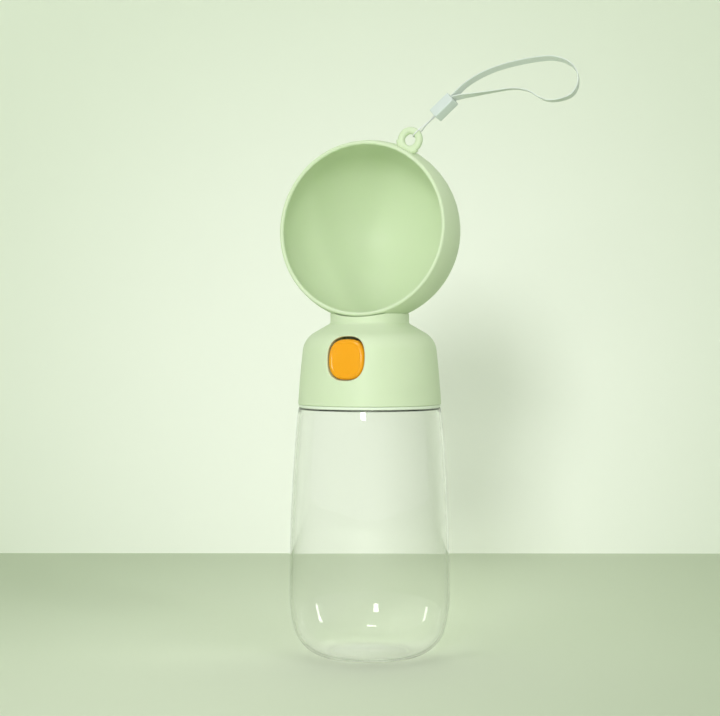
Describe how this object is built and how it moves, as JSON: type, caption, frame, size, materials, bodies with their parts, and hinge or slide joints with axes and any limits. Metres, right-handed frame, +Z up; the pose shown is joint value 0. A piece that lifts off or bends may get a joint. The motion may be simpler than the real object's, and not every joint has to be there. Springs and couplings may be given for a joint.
{
  "type": "dog travel water bottle",
  "caption": "Clear travel bottle with a screw-on head, a push-button valve under an upright round drinking bowl, and a wrist strap on the bowl's eye ring.",
  "frame": {"origin": "centre of the bottle's flat base", "axes": "+Z up along the bottle's axis; the bowl's mouth and the button face -Y; the eye ring and the strap are towards +X"},
  "size_m": [0.1258, 0.0701, 0.2423],
  "materials": {
    "clear_bottle": "clear stretch-blown copolyester with a faint green cast",
    "green_plastic": "pale green injection-moulded ABS, polished mould",
    "orange_plastic": "orange injection-moulded ABS, satin",
    "white_plastic": "natural polypropylene",
    "pale_ring": "pale polypropylene ring, moulded",
    "silicone": "translucent white silicone",
    "dark_rubber": "black nitrile rubber",
    "steel": "drawn stainless steel",
    "slider_plastic": "pale grey moulded plastic bead",
    "ribbon": "woven polyester ribbon",
    "thread": "braided nylon thread"
  },
  "bodies": {
    "bottle": {"bottle": "clear_bottle"},
    "mouth_seal": {"mouth_gasket": "silicone"},
    "shoulder_ring": {"seam_ring": "pale_ring"},
    "head": {"inner_cap": "white_plastic", "head_shell": "green_plastic", "valve_body": "white_plastic", "valve_end_plug": "white_plastic", "inlet_seal": "silicone", "valve_screws": "steel", "rod_seal": "dark_rubber", "return_spring": "steel", "outlet_tube": "silicone", "bowl": "green_plastic", "bowl_gasket": "silicone", "bowl_nut": "white_plastic"},
    "push_button": {"button": "orange_plastic", "push_rod": "steel", "valve_plug": "silicone"},
    "strap": {"strap_thread": "thread", "strap_slider": "slider_plastic", "wrist_strap": "ribbon"}
  },
  "joints": [
    {"name": "head_lift", "type": "slide", "parent": "bottle", "child": "mouth_seal", "axis": [0, 0, 1], "range_m": [0, 0.03]},
    {"name": "head_rise", "type": "slide", "parent": "mouth_seal", "child": "shoulder_ring", "axis": [0, 0, 1], "range_m": [0, 0.006]},
    {"name": "head_turn", "type": "hinge", "parent": "shoulder_ring", "child": "head", "pos_m": [0, 0, 0.103], "axis": [0, 0, 1], "range_deg": [0, 540]},
    {"name": "button_press", "type": "slide", "parent": "head", "child": "push_button", "axis": [0, 1, 0], "range_m": [0, 0.003], "stiffness_N_per_m": 400, "springref_m": -0.002, "deforming": ["return_spring"]},
    {"name": "strap_swing", "type": "hinge", "parent": "head", "child": "strap", "pos_m": [0.01875, -0.00304, 0.21082], "axis": [0, -0.9962, 0.0872], "range_deg": [-80, 120]}
  ],
  "couplings": [
    {"joint": "head_rise", "follows": "head_turn", "m_per_rad": 0.00063662}
  ]
}
